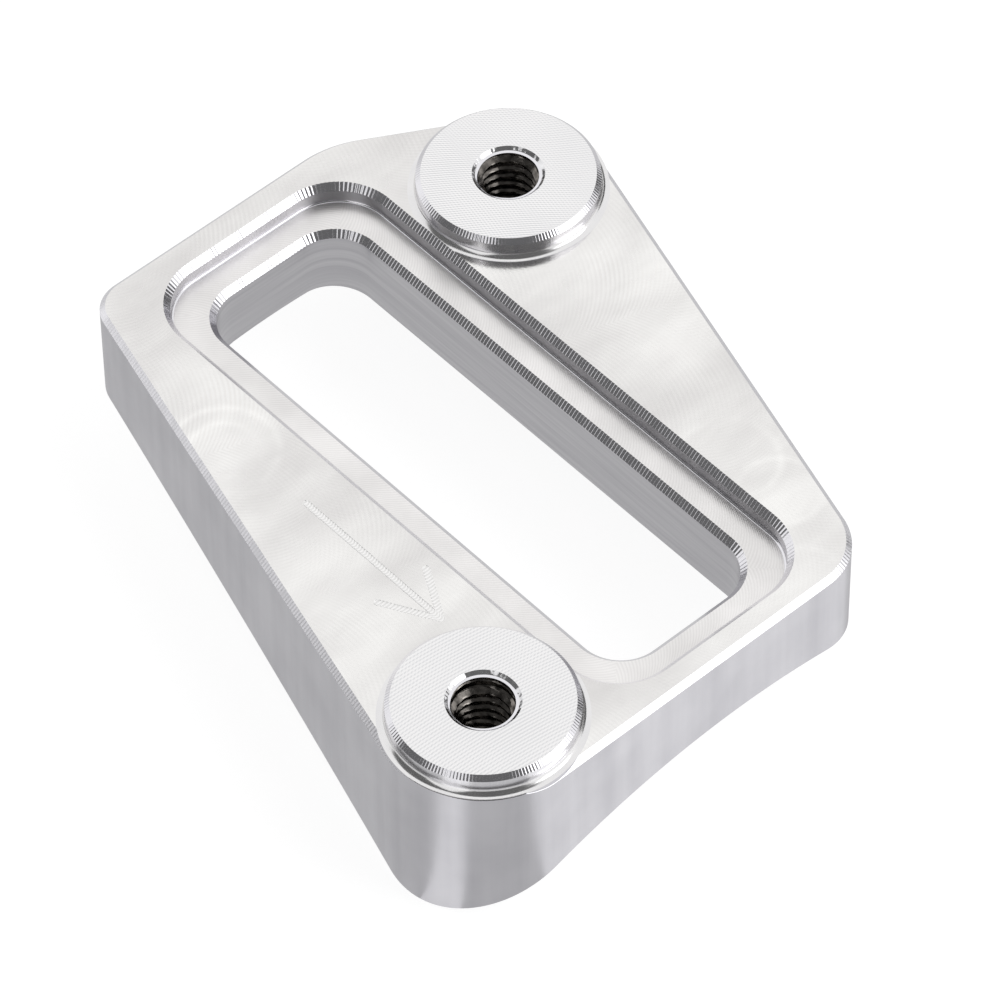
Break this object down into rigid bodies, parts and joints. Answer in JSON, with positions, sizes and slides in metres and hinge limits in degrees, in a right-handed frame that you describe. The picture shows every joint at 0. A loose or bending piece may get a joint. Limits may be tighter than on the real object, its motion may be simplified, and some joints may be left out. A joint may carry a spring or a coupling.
{
  "type": "mass air flow sensor mount",
  "caption": "Milled flange with a slot and sunk seal seat for a mass air flow sensor, tapped screw bosses, a flow arrow, and a saddle that welds to a round air duct.",
  "frame": {"origin": "on the crown of the duct that the saddle fits, under the middle of the slot", "axes": "+X along the duct and the slot, the way the engraved arrow points; +Z out of the duct, square to the plate; +Y across the duct"},
  "size_m": [0.0474, 0.0423, 0.0128],
  "materials": {
    "milled_aluminium": "bright as-milled"
  },
  "bodies": {
    "root": {"sensor_mount": "milled_aluminium"}
  },
  "joints": []
}
